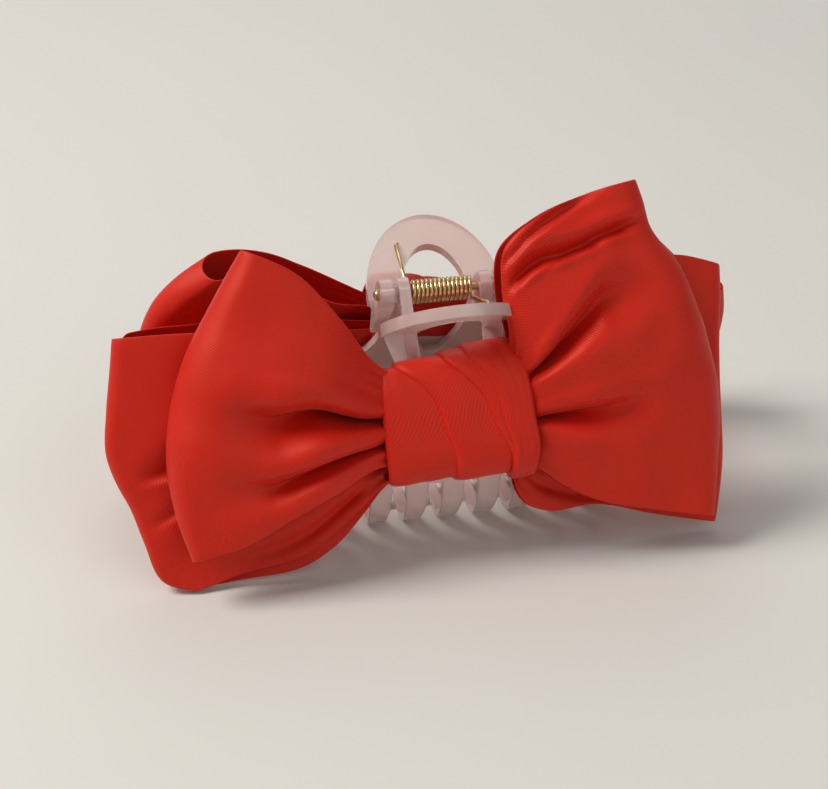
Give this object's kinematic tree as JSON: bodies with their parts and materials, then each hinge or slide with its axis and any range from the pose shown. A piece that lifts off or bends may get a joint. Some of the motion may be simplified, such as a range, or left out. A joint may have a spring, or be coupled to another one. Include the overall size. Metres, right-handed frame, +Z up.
{
  "type": "hair bow claw clip",
  "caption": "Claw hair clip with translucent jaws, a brass torsion spring and a double satin bow on each jaw.",
  "frame": {"origin": "on the surface the clip stands on, under the middle of its bounding box, which is under the middle of the hinge", "axes": "+X along the hinge pin, -Y towards the front bow, +Z up from the teeth to the levers"},
  "size_m": [0.142, 0.073, 0.0754],
  "materials": {
    "jaw_plastic": "glossy translucent pale pink moulded plastic",
    "pin_brass": "plain brass",
    "spring_brass": "bright drawn wire, brass plated",
    "satin": "red satin ribbon with a fine diagonal weave",
    "thread": "red sewing thread",
    "glue": "hot-melt glue"
  },
  "bodies": {
    "front_half": {"front_jaw": "jaw_plastic", "hinge_pin": "pin_brass", "torsion_spring": "spring_brass", "front_upper_bow": "satin", "front_under_bow": "satin", "front_knot_wrap": "satin", "front_gathering_thread": "thread", "front_glue_pad": "glue"},
    "back_half": {"back_jaw": "jaw_plastic", "back_upper_bow": "satin", "back_under_bow": "satin", "back_knot_wrap": "satin", "back_gathering_thread": "thread", "back_glue_pad": "glue"}
  },
  "joints": [
    {"name": "jaw_hinge", "type": "hinge", "parent": "front_half", "child": "back_half", "pos_m": [0, 0, 0.052], "axis": [1, 0, 0], "range_deg": [0, 70], "stiffness_Nm_per_rad": 0.027, "springref_deg": -89.95, "deforming": ["torsion_spring"]}
  ]
}
